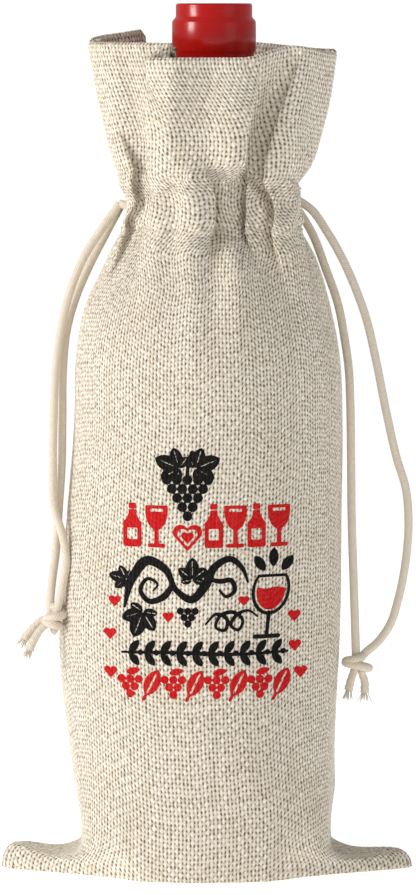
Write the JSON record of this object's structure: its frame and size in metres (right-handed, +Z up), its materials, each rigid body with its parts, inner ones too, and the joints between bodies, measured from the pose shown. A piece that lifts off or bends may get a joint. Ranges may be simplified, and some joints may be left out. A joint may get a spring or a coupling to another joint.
{
  "type": "wine gift bag",
  "caption": "Gathered burlap gift bag with side drawstrings, standing around a corked wine bottle that lifts out.",
  "frame": {"origin": "on the ground, under the middle of the bag", "axes": "+Z up through the bottle, +X along the bottom seam to the right-hand corner, the printed front faces -Y"},
  "size_m": [0.145, 0.085, 0.305],
  "materials": {
    "burlap": "matte",
    "sewing_thread": "matte",
    "cotton_cord": "matte",
    "green_glass": "gloss",
    "red_wine": "gloss",
    "cork": "matte",
    "red_foil": "satin",
    "label_paper": "matte"
  },
  "bodies": {
    "bag": {"front_panel_body": "burlap", "front_panel_gather": "burlap", "front_panel_collar": "burlap", "front_base_fold": "burlap", "front_turned_in_hem": "burlap", "back_panel_body": "burlap", "back_panel_gather": "burlap", "back_panel_collar": "burlap", "back_base_fold": "burlap", "back_turned_in_hem": "burlap", "left_corner_fold": "burlap", "right_corner_fold": "burlap", "left_seam_allowance": "burlap", "right_seam_allowance": "burlap", "bottom_seam_allowance": "burlap", "left_seam_stitching": "sewing_thread", "right_seam_stitching": "sewing_thread", "bottom_seam_stitching": "sewing_thread", "lower_channel_stitching": "sewing_thread", "upper_channel_stitching": "sewing_thread", "left_drawstring_loop": "cotton_cord", "right_drawstring_loop": "cotton_cord"},
    "bottle": {"bottle_glass": "green_glass", "wine": "red_wine", "cork": "cork", "capsule_sleeve": "red_foil", "capsule_top_disc": "red_foil", "front_label": "label_paper", "back_label": "label_paper"},
    "left_strands": {"left_outer_strand": "cotton_cord", "left_inner_strand": "cotton_cord"},
    "left_knotted_end": {"left_knot": "cotton_cord", "left_outer_tail": "cotton_cord", "left_inner_tail": "cotton_cord"},
    "right_strands": {"right_outer_strand": "cotton_cord", "right_inner_strand": "cotton_cord"},
    "right_knotted_end": {"right_knot": "cotton_cord", "right_outer_tail": "cotton_cord", "right_inner_tail": "cotton_cord"}
  },
  "joints": [
    {"name": "bottle_lift", "type": "slide", "parent": "bag", "child": "bottle", "axis": [0, 0, 1], "range_m": [0, 0.31], "deforming": ["front_panel_gather", "back_panel_gather", "front_panel_collar", "back_panel_collar", "front_turned_in_hem", "back_turned_in_hem", "left_drawstring_loop", "right_drawstring_loop", "lower_channel_stitching", "upper_channel_stitching"]},
    {"name": "left_drawstring_swing", "type": "hinge", "parent": "bag", "child": "left_strands", "pos_m": [-0.0303, -0.0002, 0.2348], "axis": [0, 1, 0], "range_deg": [0, 60]},
    {"name": "left_drawstring_pull", "type": "slide", "parent": "left_strands", "child": "left_knotted_end", "axis": [-0.1, 0, -0.995], "range_m": [0, 0.018], "deforming": ["left_outer_strand", "left_inner_strand"]},
    {"name": "right_drawstring_swing", "type": "hinge", "parent": "bag", "child": "right_strands", "pos_m": [0.0308, 0, 0.2359], "axis": [0, -1, 0], "range_deg": [0, 60]},
    {"name": "right_drawstring_pull", "type": "slide", "parent": "right_strands", "child": "right_knotted_end", "axis": [0, 0, -1], "range_m": [0, 0.018], "deforming": ["right_outer_strand", "right_inner_strand"]}
  ]
}
